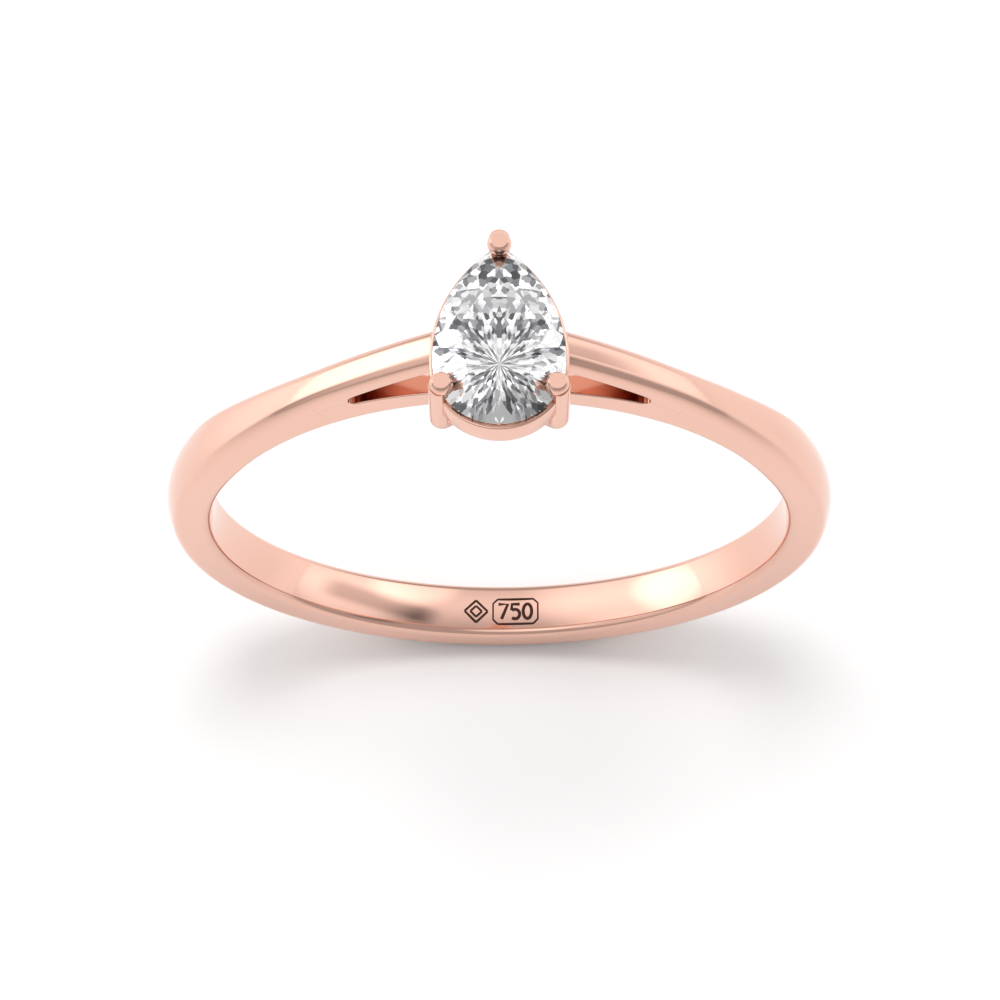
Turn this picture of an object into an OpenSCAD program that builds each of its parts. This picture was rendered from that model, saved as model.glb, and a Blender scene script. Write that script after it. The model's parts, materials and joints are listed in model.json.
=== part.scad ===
// Engagement ring: a pear brilliant in a three-claw head on a cathedral shank.
// Origin at the centre of the finger hole, +Z toward the stone, Y along the finger.
// The point of the pear faces +Y. Millimetres.

/* [Finger] */
// Inside diameter of the hoop
finger_d = 16.5; // [14.5:0.25:20]
// Radial thickness of the hoop at its crown
band_thick = 1.3; // [1.2:0.05:1.6]
// Width of the hoop along the finger, lower half
band_width = 1.66; // [1.4:0.02:2]
// Width of the shoulders where they meet the head
head_width = 1.04; // [0.9:0.02:1.3]
// Height above the finger centre where the hoop begins to narrow
taper_start = 3.8; // [3:0.1:4.5]
// Radius of the domed outside, seen in section
dome_r = 1.5; // [1.3:0.05:2.2]
// Rounding of the outer edges
outer_round = 0.25; // [0.15:0.01:0.3]
// Comfort rounding of the inner edges
comfort_round = 0.24; // [0.15:0.01:0.3]

/* [Shoulders] */
// Radial thickness of the bridge that closes the hoop under the stone
bridge_thick = 0.87; // [0.8:0.01:1]
// Height of the shoulder tops over the finger hole, where they meet the head
shoulder_rise = 2.46; // [2.35:0.02:2.6]
// Angle above horizontal where a shoulder leaves the round of the hoop
leave_angle = 32.7; // [30:0.1:36]
// Outward bulge of a shoulder's top line from straight
shoulder_bulge = 0.4; // [0.3:0.02:0.5]
// Thickness of the shoulder over its window
arm_thick = 0.37; // [0.32:0.01:0.42]
// Rise of the rounded top over the shoulder's front edge
crown_rise = 0.14; // [0.1:0.01:0.18]
// Angle above horizontal of the soldered joint between shank and shoulder
joint_angle = 58; // [55:0.5:60]
// Angle above horizontal of the round end of the window
window_angle = 65.5; // [64:0.5:68]

/* [Stone] */
// Length of the pear, round end to point
stone_length = 5.1; // [4.8:0.05:5.5]
// Width of the pear
stone_width = 3.46; // [3.3:0.02:3.7]
// Radius of the two wings of the outline
wing_r = 3.9; // [3.7:0.05:4.1]
// Girdle thickness
girdle_thick = 0.09; // [0.06:0.01:0.14]
// Crown height
crown_height = 0.48; // [0.42:0.02:0.56]
// Pavilion depth
pavilion_depth = 1.5; // [1.35:0.05:1.6]
// Height of the girdle over the bridge
girdle_rise = 2.35; // [2.25:0.05:2.6]

/* [Setting] */
// Claw wire diameter
wire_d = 0.55; // [0.45:0.01:0.6]
// Claw bead diameter
bead_d = 0.64; // [0.6:0.01:0.68]
// Flat left on the bead by the file
bead_flat_d = 0.44; // [0.3:0.02:0.5]
// Direction of the front claws from the belly line, toward the round end
claw_angle = 28; // [22:1:34]
// How far a claw wire's centre stands outside the girdle
claw_out = 0.04; // [0:0.01:0.06]
// How far a bead leans in over the crown
bead_in = 0.1; // [0.05:0.01:0.14]
// Bend radius of a claw's knee, at the wire's centre
knee_r = 0.6; // [0.5:0.02:0.7]
// Gallery rail height
rail_height = 0.86; // [0.75:0.02:0.95]
// Gallery rail wall
rail_wall = 0.55; // [0.5:0.01:0.65]
// How far the rail stands outside the stone
rail_out = 0.09; // [0.05:0.01:0.14]
// Gap between the top of the rail and the girdle
rail_drop = 0.08; // [0.05:0.01:0.12]
// Collet diameter
collet_d = 1.24; // [1.1:0.02:1.4]
// Height of the collet over the claw wires that enter it
collet_cover = 0.02; // [0.01:0.01:0.04]
// Diameter of the peg that fixes the collet to the bridge
peg_d = 0.5; // [0.4:0.02:0.6]
// Depth of the peg's hole in the bridge
peg_depth = 0.45; // [0.35:0.05:0.5]
// Solder gap round the peg
solder_gap = 0.02; // [0.01:0.01:0.04]

/* [Hidden] */
$fn = 180;

gold = [0.93, 0.74, 0.66];
gold_deep = [0.86, 0.66, 0.58];
gold_pale = [0.96, 0.8, 0.72];
clear = [0.88, 0.92, 0.97];

// Hoop
bore_r = finger_d / 2;
crown_r = bore_r + band_thick;
half_w = band_width / 2;
bridge_r = bore_r + bridge_thick;
far = 60;
// Overrun of a cutter past the face it cuts
spare = 0.5;
lap = 0.1;
// Distance from the end of the taper up to the top of the finger hole
taper_margin = 0.15;
taper_end = bore_r - taper_margin;
taper_angle = atan((band_width - head_width) / 2 / (taper_end - taper_start));

// Pear outline: round end, two wings and a point on +Y
round_mid = wing_r - stone_width / 2;
wing_y = stone_length / 2 - sqrt(wing_r * wing_r - round_mid * round_mid);
drop = wing_r - stone_length / 2 - wing_y;
shift = (drop * drop + round_mid * round_mid) / (2 * drop);
end_r = wing_r - shift;
end_y = end_r - stone_length / 2;
blend_angle = asin((drop - shift) / shift);

// Gap between a claw's foot and the bridge, and height of a bead over the table
foot_gap = 0.05;
bead_over = 0.04;
// Extra lean of the bead at the point
point_lean = 0.05;

// Heights of the head
girdle_z = bridge_r + girdle_rise;
girdle_top = girdle_z + girdle_thick;
table_z = girdle_top + crown_height;
culet_z = girdle_z - pavilion_depth;
rail_top = girdle_z - rail_drop;
rail_base = rail_top - rail_height;
wire_z = bridge_r + wire_d / 2 + foot_gap;
collet_top = wire_z + wire_d / 2 + collet_cover;
bead_rise = sqrt(bead_d * bead_d - bead_flat_d * bead_flat_d) / 2;
bead_top = table_z + bead_over;
bead_z = bead_top - bead_rise;

// Depth of a shoulder's section before it is trimmed, and where it ends inside the head
arm_depth = 1.2;
arm_end = 84;
root_bury = 0.1;
// Sweep of the top arc, and how much of it lies before its middle
sweep_angle = 32;
sweep_back = 18;
// Part of a corner rounding that is taken off as a chamfer on a curved edge
break_share = 0.6;
// Radius of the window's end over half the opening there
tip_share = 1.2;

// Shoulder top line: an arc from the hoop to the head
edge_r = crown_r - dome_r + sqrt(dome_r * dome_r - half_w * half_w);
edge_break = outer_round / 4;
head_x = stone_width / 2 + rail_out - root_bury;
start_x = edge_r * cos(leave_angle);
start_z = edge_r * sin(leave_angle);
top_z = bore_r + shoulder_rise;
chord = sqrt(pow(start_x - head_x, 2) + pow(top_z - start_z, 2));
chord_angle = atan2(top_z - start_z, head_x - start_x);
arm_r = chord * chord / (8 * shoulder_bulge) + shoulder_bulge / 2;
arm_x = (start_x + head_x) / 2 - (arm_r - shoulder_bulge) * sin(chord_angle);
arm_z = (start_z + top_z) / 2 + (arm_r - shoulder_bulge) * cos(chord_angle);
arm_top_r = arm_r + crown_rise;

// Girdle points, table corners and meet points of the facets, right half
main_az = [-90, -42, 2, 30, 90];
half_az = [-66, -20, 16, 43];
table_share = [0.58, 0.58, 0.58, 0.63, 0.72];
lower_share = 0.78;
star_z = girdle_top + crown_height / 2;
lower_z = girdle_z - pavilion_depth * lower_share;

function rim(az) = az <= blend_angle
    ? [end_r * cos(az), end_y + end_r * sin(az)]
    : [wing_r * cos(az) - round_mid, wing_y + wing_r * sin(az)];
function main_rim(i) = i == 4 ? [0, stone_length / 2] : rim(main_az[i]);
function table_corner(i) = [0, end_y] + table_share[i] * (main_rim(i) - [0, end_y]);
function lift(p, z) = [p.x, p.y, z];
function unit(v) = v / norm(v);
function facet_normal(a, b, c) = unit(cross(b - a, c - a));

// Outward run of main facet i at height z, measured along its own direction
function out_dir(i) = [cos(main_az[i]), sin(main_az[i])];
function crown_run(i, z) = let (
        rim_run = main_rim(i) * out_dir(i),
        table_run = table_corner(i) * out_dir(i)
    ) rim_run + (table_run - rim_run) * (z - girdle_top) / crown_height;
function pavilion_run(i, z) = let (
        rim_run = main_rim(i) * out_dir(i),
        culet_run = [0, end_y] * out_dir(i)
    ) rim_run + (culet_run - rim_run) * (girdle_z - z) / pavilion_depth;
// Point where two neighbouring mains meet, from their runs at one height
function meet(i, run_a, run_b, z) = let (
        a = out_dir(i),
        b = out_dir(i + 1),
        det = a.x * b.y - a.y * b.x
    ) [(run_a * b.y - run_b * a.y) / det, (run_b * a.x - run_a * b.x) / det, z];
function star_point(i) = meet(i, crown_run(i, star_z), crown_run(i + 1, star_z), star_z);
function lower_point(i) = meet(i, pavilion_run(i, lower_z), pavilion_run(i + 1, lower_z), lower_z);

// Turns local Z to the ring's Y axis; local X and Y become X and Z
module along_finger() {
    rotate([90, 0, 0]) children();
}

module front_slab(r, depth) {
    along_finger() cylinder(r = r, h = depth, center = true);
}

// Half-space above the start of the taper
module upper_space() {
    translate([-far / 2, -far / 2, taper_start]) cube(far);
}

// Wedge of the round, in the front view, between two angles on the right
module wedge(a, b, depth) {
    along_finger()
        linear_extrude(depth, center = true)
            polygon([[0, 0], [far * cos(a), far * sin(a)], [far * cos(b), far * sin(b)]]);
}

// Leans the front side inward above the start of the taper
module lean() {
    translate([0, -half_w, taper_start])
        rotate([-taper_angle, 0, 0])
            translate([0, half_w, -taper_start])
                children();
}

// Full section of the lower hoop: comfort edges inside, domed outside, rounded corners
module hoop_section() {
    round_x = crown_r - dome_r + sqrt(pow(dome_r - outer_round, 2) - pow(half_w - outer_round, 2));
    difference() {
        intersection() {
            translate([crown_r - dome_r, 0]) circle(dome_r);
            union() {
                translate([bore_r, -half_w]) square([round_x - bore_r, band_width]);
                translate([bore_r, outer_round - half_w])
                    square([band_thick, band_width - 2 * outer_round]);
                for (s = [-1, 1]) translate([round_x, s * (half_w - outer_round)]) circle(outer_round);
            }
        }
        comfort_corner();
        mirror([0, 1]) comfort_corner();
    }
}

// Waste between a square inner corner and its comfort rounding
module comfort_corner() {
    difference() {
        translate([bore_r - lap, half_w - comfort_round])
            square([comfort_round + lap, comfort_round + 2 * lap]);
        translate([bore_r + comfort_round, half_w - comfort_round]) circle(comfort_round);
    }
}

module lower_hoop() {
    difference() {
        along_finger() rotate_extrude() hoop_section();
        upper_space();
    }
}

// Plain section of the upper hoop, trimmed to its taper later
module upper_section() {
    intersection() {
        translate([bore_r - spare, -half_w]) square([band_thick + 2 * spare, band_width]);
        translate([crown_r - dome_r, 0]) circle(dome_r);
    }
}

// Plain section of a shoulder, about the centre of its top arc
module arm_section() {
    translate([arm_r - arm_depth, -half_w]) square([arm_depth + crown_rise, band_width]);
}

module arm_sweep() {
    translate([arm_x, 0, arm_z])
        along_finger()
            rotate([0, 0, chord_angle - 90 - sweep_back])
                rotate_extrude(angle = sweep_angle)
                    arm_section();
}

// Ring of waste at 45 degrees across a corner at radius r and half width w
module corner_waste(r, size, outward) {
    reach = 0.6;
    along_finger()
        rotate_extrude()
            polygon([
                [r - outward * size, half_w],
                [r + outward * (reach - size), half_w - reach],
                [r + outward * reach, half_w + reach],
                [r - outward * size, half_w + reach]
            ]);
}

// Space between the start of the taper and its end, or over its end
module taper_space(over) {
    translate([-far / 2, -far / 2, over ? taper_end : taper_start - 2 * spare])
        cube([far, far, over ? far : taper_end - taper_start + 2 * spare]);
}

// Follows the narrowing side: leaned up to the end of the taper, then straight
module along_side(side) {
    mirror([0, side > 0 ? 1 : 0, 0]) {
        intersection() {
            lean() children();
            taper_space(false);
        }
        intersection() {
            translate([0, (band_width - head_width) / 2, 0]) children();
            taper_space(true);
        }
    }
}

// Waste that breaks the edges of the upper hoop and bridge
module upper_edge_waste(side) {
    along_side(side) {
        corner_waste(edge_r, edge_break, 1);
        corner_waste(bore_r, comfort_round * break_share, -1);
    }
}

module shoulder_edge_waste(side) {
    along_side(side)
        translate([arm_x, 0, arm_z])
            corner_waste(arm_top_r, outer_round * break_share, 1);
}

// Prism as wide as the ring is at each height
module width_prism() {
    rotate([90, 0, 90])
        linear_extrude(far, center = true)
            polygon([
                [-half_w, 0],
                [half_w, 0],
                [half_w, taper_start],
                [head_width / 2, taper_end],
                [head_width / 2, far],
                [-head_width / 2, far],
                [-head_width / 2, taper_end],
                [-half_w, taper_start]
            ]);
}

// Right shoulder line, narrowed toward the head
module shoulder_blank() {
    difference() {
        intersection() {
            arm_sweep();
            width_prism();
            wedge(leave_angle, 90, far);
        }
        shoulder_edge_waste(1);
        shoulder_edge_waste(-1);
    }
}

module upper_hoop() {
    difference() {
        intersection() {
            along_finger() rotate_extrude() upper_section();
            width_prism();
            upper_space();
        }
        upper_edge_waste(1);
        upper_edge_waste(-1);
    }
}

module finger_hole() {
    front_slab(bore_r, far);
}

// Space over the bridge, between the two soldered joints
module head_space() {
    difference() {
        wedge(joint_angle, 180 - joint_angle, far);
        front_slab(bridge_r, far);
    }
}

// Open window under the right shoulder, drawn in the front view
module window() {
    c = cos(window_angle);
    s = sin(window_angle);
    along = arm_x * c + arm_z * s;
    under_r = arm_r - arm_thick;
    off_2 = arm_x * arm_x + arm_z * arm_z;
    under_at_end = along + sqrt(along * along - off_2 + under_r * under_r);
    end_mid = (bridge_r + under_at_end) / 2;
    end_half = (under_at_end - bridge_r) / 2 * tip_share;
    intersection() {
        translate([arm_x, 0, arm_z]) front_slab(under_r, far);
        union() {
            wedge(window_angle, 180 - joint_angle, far);
            translate([end_mid * c, 0, end_mid * s]) front_slab(end_half, far);
        }
    }
}

module shank() {
    color(gold) difference() {
        union() {
            lower_hoop();
            upper_hoop();
            shoulder_blank();
            mirror([1, 0, 0]) shoulder_blank();
        }
        head_space();
        finger_hole();
        peg_hole();
    }
}

module peg_hole() {
    translate([0, 0, bridge_r - peg_depth])
        cylinder(d = peg_d + 2 * solder_gap, h = peg_depth + spare);
}

module shoulder_right() {
    color(gold_pale) difference() {
        shoulder_root();
        window();
    }
}

// Right shoulder before its window is opened
module shoulder_root() {
    difference() {
        intersection() {
            shoulder_blank();
            wedge(joint_angle, arm_end, far);
        }
        front_slab(bridge_r, far);
        head_room();
    }
}

// Room for the head: the shoulders end against the outside of the rail
module head_room() {
    pear_solid(rail_out, bore_r, table_z + spare);
}

module shoulder_left() {
    mirror([1, 0, 0]) shoulder_right();
}

// Solid pear, grown outward by a margin, between two heights
module pear_solid(margin, z0, z1) {
    blend_y = end_y + end_r * sin(blend_angle);
    translate([0, 0, z0]) linear_extrude(z1 - z0) {
        translate([0, end_y]) circle(end_r + margin);
        intersection() {
            translate([-round_mid, wing_y]) circle(wing_r + margin);
            translate([round_mid, wing_y]) circle(wing_r + margin);
            translate([-far / 2, blend_y]) square(far);
        }
    }
}

module gallery_rail() {
    color(gold_pale) difference() {
        pear_solid(rail_out, rail_base, rail_top);
        pear_solid(rail_out - rail_wall, rail_base - spare, rail_top + spare);
        front_wire(1);
        front_wire(-1);
        point_wire();
        diamond();
    }
}

module collet() {
    color(gold_deep) {
        difference() {
            translate([0, 0, bore_r]) cylinder(d = collet_d, h = collet_top - bore_r);
            front_slab(bridge_r, far);
        }
        translate([0, 0, bridge_r - peg_depth]) cylinder(d = peg_d, h = peg_depth + spare);
    }
}

// Claw wire in the XZ plane: out from the axis, up round the knee and up to the bead
module wire(reach, lean_in) {
    knee_z = wire_z + knee_r;
    translate([0, 0, wire_z]) rotate([0, 90, 0]) cylinder(d = wire_d, h = reach - knee_r);
    translate([reach - knee_r, 0, knee_z])
        rotate([90, 0, 0])
            rotate([0, 0, -90])
                rotate_extrude(angle = 90)
                    translate([knee_r, 0]) circle(d = wire_d);
    translate([reach, 0, knee_z]) cylinder(d = wire_d, h = bead_z - knee_z);
    intersection() {
        translate([reach - lean_in, 0, bead_z]) sphere(d = bead_d);
        translate([0, -far / 2, bead_top - far]) cube(far);
    }
}

claw_rim = rim(-claw_angle);
claw_mid = claw_rim + claw_out * [cos(claw_angle), -sin(claw_angle)];

module front_wire(side) {
    mirror([side < 0 ? 1 : 0, 0, 0])
        rotate([0, 0, atan2(claw_mid.y, claw_mid.x)])
            wire(norm(claw_mid), bead_in);
}

module point_wire() {
    rotate([0, 0, 90]) wire(stone_length / 2 + claw_out, bead_in + point_lean);
}

module claw_right() {
    color(gold) difference() {
        front_wire(1);
        collet();
        diamond();
    }
}

module claw_left() {
    mirror([1, 0, 0]) claw_right();
}

module claw_point() {
    color(gold) difference() {
        point_wire();
        collet();
        diamond();
    }
}

// Half-space outside the plane through point p, facing along n
module cut_plane(p, n) {
    side = 16;
    translate(p)
        rotate([0, acos(n.z) - 90, atan2(n.y, n.x)])
            translate([0, -side / 2, -side / 2])
                cube(side);
}

module facet(a, b, c) {
    n = facet_normal(a, b, c);
    outward = n * (a - [0, end_y, girdle_z]) < 0 ? -n : n;
    cut_plane(a, outward);
}

module main_facets(i) {
    rim_p = main_rim(i);
    across = [-out_dir(i).y, out_dir(i).x, 0];
    top = lift(table_corner(i), table_z);
    facet(lift(rim_p, girdle_top), top, top + across);
    facet(lift(rim_p, girdle_z), [0, end_y, culet_z], [0, end_y, culet_z] + across);
}

module half_facets(i) {
    rim_p = rim(half_az[i]);
    star = star_point(i);
    low = lower_point(i);
    facet(lift(table_corner(i), table_z), lift(table_corner(i + 1), table_z), star);
    for (k = [i, i + 1]) {
        facet(lift(main_rim(k), girdle_top), lift(rim_p, girdle_top), star);
        facet(lift(main_rim(k), girdle_z), lift(rim_p, girdle_z), low);
    }
}

// The mains are cut first, then the star and half facets that share their corners
module diamond() {
    color(clear) difference() {
        difference() {
            pear_solid(0, culet_z - lap, table_z);
            for (i = [0:4]) main_facets(i);
            for (i = [1:3]) mirror([1, 0, 0]) main_facets(i);
        }
        for (i = [0:3]) {
            half_facets(i);
            mirror([1, 0, 0]) half_facets(i);
        }
    }
}

shank();
shoulder_left();
shoulder_right();
collet();
gallery_rail();
claw_left();
claw_right();
claw_point();
diamond();
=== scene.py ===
import json
import math

import bmesh
import bpy
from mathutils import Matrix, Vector


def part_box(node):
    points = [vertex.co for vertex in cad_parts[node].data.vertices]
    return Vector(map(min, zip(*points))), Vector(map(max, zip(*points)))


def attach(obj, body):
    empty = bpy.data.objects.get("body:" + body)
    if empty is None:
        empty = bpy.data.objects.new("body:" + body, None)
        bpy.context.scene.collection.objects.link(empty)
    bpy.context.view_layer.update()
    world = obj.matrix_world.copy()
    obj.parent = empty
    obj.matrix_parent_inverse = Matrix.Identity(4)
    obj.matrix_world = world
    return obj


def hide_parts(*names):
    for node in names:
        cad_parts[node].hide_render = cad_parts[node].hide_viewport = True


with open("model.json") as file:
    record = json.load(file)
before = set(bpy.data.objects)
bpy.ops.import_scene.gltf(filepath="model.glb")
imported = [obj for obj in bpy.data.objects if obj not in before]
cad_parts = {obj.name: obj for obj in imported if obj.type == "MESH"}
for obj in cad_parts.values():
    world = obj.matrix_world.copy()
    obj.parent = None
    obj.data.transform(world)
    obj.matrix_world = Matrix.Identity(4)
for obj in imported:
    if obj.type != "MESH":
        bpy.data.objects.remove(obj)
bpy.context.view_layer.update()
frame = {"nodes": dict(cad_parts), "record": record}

# Sizes are in millimetres until a mesh is made. The origin is at the centre of the finger hole,
# +Z toward the stone, Y along the finger, the point of the pear toward +Y.
MM = 0.001


def box_mm(node):
    low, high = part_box(node)
    return low / MM, high / MM


hoop_low, hoop_high = box_mm("shank")
stone_low, stone_high = box_mm("diamond")
rail_low, rail_high = box_mm("gallery_rail")
claw_low, claw_high = box_mm("claw_right")
bead_edge = box_mm("claw_point")[1].x
collet_high = box_mm("collet")[1]
finger_hole = frame["record"]["mounts"][0]

# Hoop
BORE_R = finger_hole["dims"]["r_mm"]
CROWN_R = -hoop_low.z
HALF_W = hoop_high.y
BRIDGE_R = hoop_high.z
# The ring narrows from this height to just under the top of the finger hole
HEAD_HALF = 0.52
TAPER_START = 3.8
TAPER_MARGIN = 0.15
TAPER_END = BORE_R - TAPER_MARGIN
TAPER_SOFT = 0.12
# Domed outside and its edges: below, and on the shoulders
DOME_R = 1.5
SHOULDER_DOME_R = 3.2
OUTER_ROUND = 0.25
SHOULDER_ROUND = 0.32
# Comfort fit: rounded inner edges, and an inside that stands proud along its middle
COMFORT_ROUND = 0.24
COMFORT_CROWN = 0.04
# Angles above horizontal between which the hoop thins, joins the shoulder's arc and flattens its dome
THINNING = 0.12
THIN_FROM, THIN_TO = 5, 42
JOIN_FROM, JOIN_TO = 26, 50
FLATTEN_FROM, FLATTEN_TO = 20, 50

# Shoulders: the top line is an arc from the hoop to the head
LEAVE_ANGLE = 32.7
JOINT_ANGLE = 58.0
WINDOW_ANGLE = 65.5
SHOULDER_END = 80.6
CROWN_RISE = 0.14
ARM_THICK = 0.37
BULGE = 0.4
RAIL_BITE = 0.1
HEAD_X = rail_high.x - RAIL_BITE
HEAD_RISE = 2.46
HEAD_Z = BORE_R + HEAD_RISE
# 0.5 would give the window a round end, and 1 a pointed one
TIP_TAPER = 0.8
# Edges of the window: crisp at the joint, broken along the opening, over these degrees
JOINT_EDGE = 0.004
WINDOW_EDGE = 0.05
EDGE_GROWTH = 1.5

# Skins: points round a section, and degrees from one section to the next
CORNER_STEPS = 8
DOME_STEPS = 18
FLAT_SHARES = (0.94, 0.8, 0.55, 0.28)
SIDE_HOLD = 0.015
BAND_STEP = 0.7
TIP_SHARES = (0.02, 0.1, 0.2, 0.35, 0.5, 0.65, 0.8, 0.92)
# A narrow step on each side of the soldered joint keeps the polish level across it
JOINT_STEP = 0.05

# Stone and gallery rail
STONE_HALF = stone_high.x
STONE_LENGTH = stone_high.y - stone_low.y
WING_R = 3.9
RAIL_WALL = 0.55
RAIL_ROUND = 0.14
RAIL_STEPS = 6
RAIL_BREAK = 0.03
# The seat starts inside the girdle and falls with the pavilion
SEAT_IN = 0.13
SEAT_FALL = 0.87
SEAT_LIP = 0.02
SEAT_DROP = 0.01
ROUND_END_STEP = 2.0
WING_STEP = 1.0
POINT_MARGIN = 0.3

# Claws
WIRE_R = 0.275
BEAD_R = bead_edge
BEAD_FLAT_R = 0.22
KNEE_R = 0.6
CLAW_ANGLE = 28
CLAW_OUT = 0.04
BEAD_LEAN = 0.1
POINT_BEAD_LEAN = 0.15
PATH_CORNERS = 3
KNEE_STEPS = 20
WIRE_SIDES = 40
BEAD_SEGMENTS = 48
BEAD_RINGS = 32

# Collet
COLLET_R = collet_high.x
COLLET_ROUND = 0.12
COLLET_SUNK = 0.2
COLLET_BREAK = 0.05
COLLET_STEPS = 64
AXIS_HOLE = 0.001

# Creases sharper than these degrees stay crisp
BAND_CREASE = 35
HEAD_CREASE = 40
# Welding and cutting distances, in metres
WELD = 1e-8
STONE_WELD = 1e-7
CUT_SNAP = 1e-9


def cos_deg(angle):
    return math.cos(math.radians(angle))


def sin_deg(angle):
    return math.sin(math.radians(angle))


def mix(start, end, share):
    return start + (end - start) * share


def ease(value, start, end):
    """0 at the start and 1 at the end, with soft ends."""
    share = min(max((value - start) / (end - start), 0.0), 1.0)
    return share * share * (3 - 2 * share)


# ---------------------------------------------------------------- materials

GOLD = "#ebbdab"
# Painted shade: the darker tone that corners near other metal take
GOLD_PAINTED_SHADE = "#a8735f"
BAND_ROUGHNESS = 0.07
HEAD_ROUGHNESS = 0.1
# Buffing haze in patches about 1.5 mm across, and mop lines too shallow to feel
HAZE_PER_MM = 0.7
HAZE_CLEAR, HAZE_FULL = 0.3, 0.7
HAZE_DULLING = 0.04
MOP_LINES_PER_MM = 30.0
MOP_DEPTH = 0.002
MOP_SHARE = 0.02
# Painted shade: metal this near to other metal is darkened, fully where it is only this open, and not at all
# where it is this open
SHADE_REACH = 0.9
SHADE_FULL_OPEN = 0.25
SHADE_NONE_OPEN = 0.8

DIAMOND_IOR = 2.417
DIAMOND_ROUGHNESS = 0.02
MIRROR_SHARE = 0.85
# Shards about the culet
SHARDS_PER_RADIAN = 4.8
SHARDS_PER_MM = 1.9
# A stretch of the pattern with its large shards beside the culet
SHARD_SHIFT = (17.3, 5.6, 0.0)
# Large shards and slivers: how many times as fine, how far turned, and the cut of their edges
SHARD_CUTS = ((1.0, 0.34, "EUCLIDEAN"), (2.6, 0.4, "MANHATTAN"))
SLIVER_SHARE = 0.55
# Painted reflection: grey and white shards stand in for the dark and bright things the facets mirror
SHARD_PAINTED_REFLECTIONS = ((0.24, "#747578"), (0.34, "#b9b9c0"), (0.46, "#ffffff"))
# The star of shards is seen on the crown, so it stands this far short of the culet under it
STAR_OFF = 0.27

BURN_LIGHT = "#4a2e26"
BURN_DARK = "#2c1812"
SCORCH_PER_MM = 20.0
BURN_ROUGHNESS = 0.75
BURN_SHEEN = 0.2

ACRYLIC = "#f7f7f7"
ACRYLIC_ROUGHNESS = 0.25
ACRYLIC_IOR = 1.3


def linear(hex_colour):
    """sRGB hex to the linear values that a shader takes."""
    values = [int(hex_colour[i : i + 2], 16) / 255 for i in (1, 3, 5)]
    return [v / 12.92 if v <= 0.04045 else ((v + 0.055) / 1.055) ** 2.4 for v in values] + [1]


def add_node(tree, kind, settings=None, inputs=None, links=None):
    """A node with its settings, its input values and the sockets that feed it."""
    node = tree.nodes.new(kind)
    for name, value in (settings or {}).items():
        setattr(node, name, value)
    for name, value in (inputs or {}).items():
        node.inputs[name].default_value = value
    for name, socket in (links or {}).items():
        tree.links.new(socket, node.inputs[name])
    return node


def new_material(name):
    material = bpy.data.materials.new(name)
    material.use_nodes = True
    tree = material.node_tree
    tree.nodes.clear()
    return material, tree


def polished_rose_gold(name, roughness):
    """18 carat rose gold, polished to a mirror: a warm pink metal, a hair less sharp where the mop has
    dragged, and painted shade, a deeper tone in the corners near other metal, where shade falls."""
    material, tree = new_material(name)
    place = add_node(tree, "ShaderNodeTexCoord").outputs["Object"]
    haze = add_node(
        tree, "ShaderNodeTexNoise", inputs={"Scale": HAZE_PER_MM / MM, "Detail": 2.0}, links={"Vector": place}
    )
    dulled = add_node(
        tree,
        "ShaderNodeMapRange",
        inputs={
            "From Min": HAZE_CLEAR,
            "From Max": HAZE_FULL,
            "To Min": roughness,
            "To Max": roughness + HAZE_DULLING,
        },
        links={"Value": haze.outputs["Fac"]},
    )
    mop_lines = add_node(
        tree,
        "ShaderNodeTexNoise",
        inputs={"Scale": MOP_LINES_PER_MM / MM, "Detail": 1.0},
        links={"Vector": place},
    )
    relief = add_node(
        tree,
        "ShaderNodeBump",
        inputs={"Strength": MOP_SHARE, "Distance": MOP_DEPTH * MM},
        links={"Height": mop_lines.outputs["Fac"]},
    )
    # Painted shade: the base colour darkens toward the shade tone where other metal is near
    open_share = add_node(tree, "ShaderNodeAmbientOcclusion", {"samples": 8}, {"Distance": SHADE_REACH * MM})
    unshaded_share = add_node(
        tree,
        "ShaderNodeMapRange",
        {"interpolation_type": "SMOOTHSTEP"},
        {"From Min": SHADE_FULL_OPEN, "From Max": SHADE_NONE_OPEN},
        {"Value": open_share.outputs["AO"]},
    )
    tone = add_node(tree, "ShaderNodeMix", {"data_type": "RGBA"}, links={"Factor": unshaded_share.outputs["Result"]})
    tone.inputs["A"].default_value = linear(GOLD_PAINTED_SHADE)
    tone.inputs["B"].default_value = linear(GOLD)
    metal = add_node(
        tree,
        "ShaderNodeBsdfPrincipled",
        inputs={"Metallic": 1.0},
        links={
            "Base Color": tone.outputs["Result"],
            "Roughness": dulled.outputs["Result"],
            "Normal": relief.outputs["Normal"],
        },
    )
    add_node(tree, "ShaderNodeOutputMaterial", links={"Surface": metal.outputs["BSDF"]})
    return material


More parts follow.
